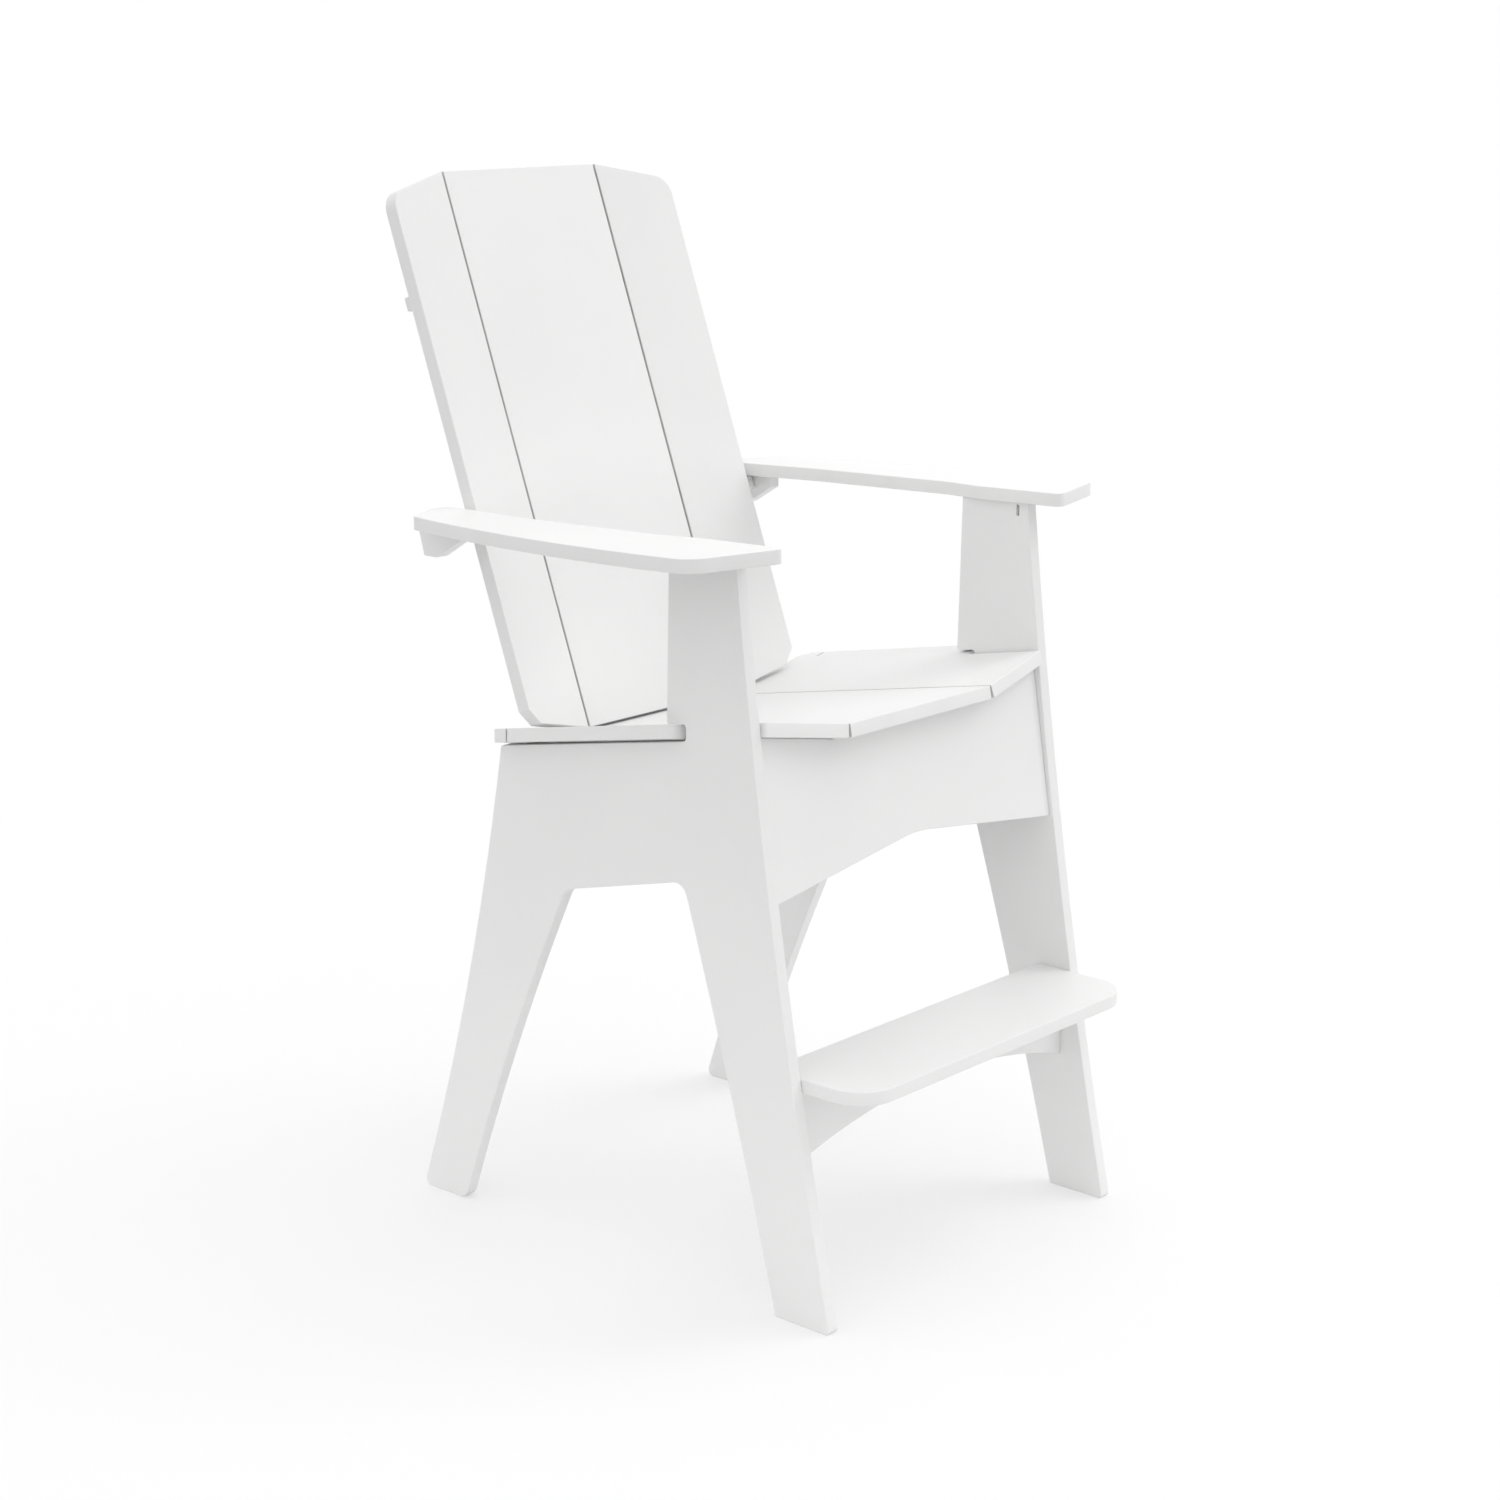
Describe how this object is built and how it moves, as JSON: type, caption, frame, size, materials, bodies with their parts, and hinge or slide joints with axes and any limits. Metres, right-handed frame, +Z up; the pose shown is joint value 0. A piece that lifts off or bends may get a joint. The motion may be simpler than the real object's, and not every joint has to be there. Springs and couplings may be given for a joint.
{
  "type": "bar height adirondack chair",
  "caption": "Tall outdoor armchair of flat white sheet boards, with splayed side-panel legs, a dished plank seat, a reclined plank back, wide arms and a footrest.",
  "frame": {"origin": "on the floor, at the centre of the chair's bounding box", "axes": "+Z up, -Y the way a sitter faces, +X to the sitter's left"},
  "size_m": [0.8658, 0.9304, 1.461],
  "materials": {
    "sheet": "white, smooth and slightly satin",
    "steel": "plain"
  },
  "bodies": {
    "root": {"arm_bracket_left": "sheet", "arm_bracket_right": "sheet", "arm_left": "sheet", "arm_right": "sheet", "back_plank_centre": "sheet", "back_plank_left": "sheet", "back_plank_right": "sheet", "footrest_board": "sheet", "footrest_stretcher": "sheet", "front_apron": "sheet", "lower_back_rail": "sheet", "lower_back_yoke": "sheet", "middle_back_yoke": "sheet", "upper_back_yoke": "sheet", "rear_seat_rail": "sheet", "seat_plank_centre": "sheet", "seat_plank_left": "sheet", "seat_plank_right": "sheet", "side_panel_left": "sheet", "side_panel_right": "sheet", "post_screw_left": "steel", "post_screw_right": "steel", "upper_yoke_screw_centre": "steel", "upper_yoke_screw_left": "steel", "upper_yoke_screw_right": "steel", "middle_yoke_screw_centre": "steel", "middle_yoke_screw_left": "steel", "middle_yoke_screw_right": "steel", "lower_yoke_screw_centre": "steel", "lower_yoke_screw_left": "steel", "lower_yoke_screw_right": "steel"}
  },
  "joints": []
}
